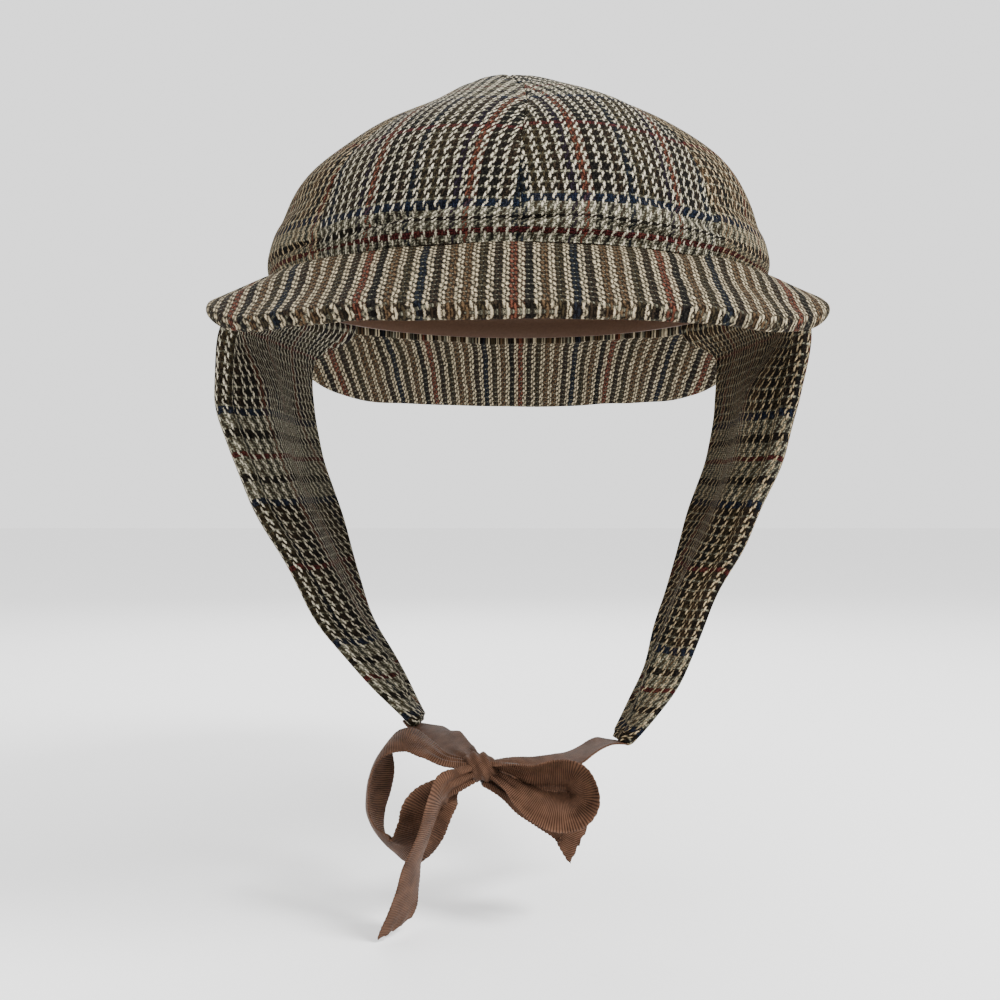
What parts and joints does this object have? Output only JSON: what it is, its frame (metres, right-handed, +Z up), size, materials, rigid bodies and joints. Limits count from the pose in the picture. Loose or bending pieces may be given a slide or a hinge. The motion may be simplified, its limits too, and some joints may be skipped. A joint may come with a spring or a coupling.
{
  "type": "deerstalker hat",
  "caption": "Tweed deerstalker hat: pointed gored crown, stiff front and back peaks, long ear flaps hanging down and tied under the chin with a ribbon bow; hollow, for a head.",
  "frame": {"origin": "centre of the head opening, in the plane of the rim where the crown meets the peaks", "axes": "+Z up through the crown, -Y towards the front peak, +X towards the right-hand flap as seen from the front"},
  "size_m": [0.2005, 0.3146, 0.299],
  "materials": {
    "crown_tweed": "brown and cream gun-club tweed with rust and navy overcheck lines",
    "peak_tweed": "the same tweed, its lines running front to back, stitched over a stiffener",
    "flap_tweed": "the same tweed, doubled, with rolled edges",
    "band_leather": "plain brown band, soft sheen",
    "grosgrain": "taupe brown grosgrain ribbon with fine cross ribs"
  },
  "bodies": {
    "root": {"crown_panel_1": "crown_tweed", "crown_panel_2": "crown_tweed", "crown_panel_3": "crown_tweed", "crown_panel_4": "crown_tweed", "crown_panel_5": "crown_tweed", "crown_panel_6": "crown_tweed", "crown_panel_7": "crown_tweed", "crown_panel_8": "crown_tweed", "front_peak": "peak_tweed", "back_peak": "peak_tweed", "ear_flap_left": "flap_tweed", "ear_flap_right": "flap_tweed", "sweatband": "band_leather", "chin_ribbon_left": "grosgrain", "chin_ribbon_right": "grosgrain", "bow_knot": "grosgrain", "bow_loop_left": "grosgrain", "bow_loop_right": "grosgrain", "ribbon_tail_left": "grosgrain", "ribbon_tail_right": "grosgrain"}
  },
  "joints": []
}
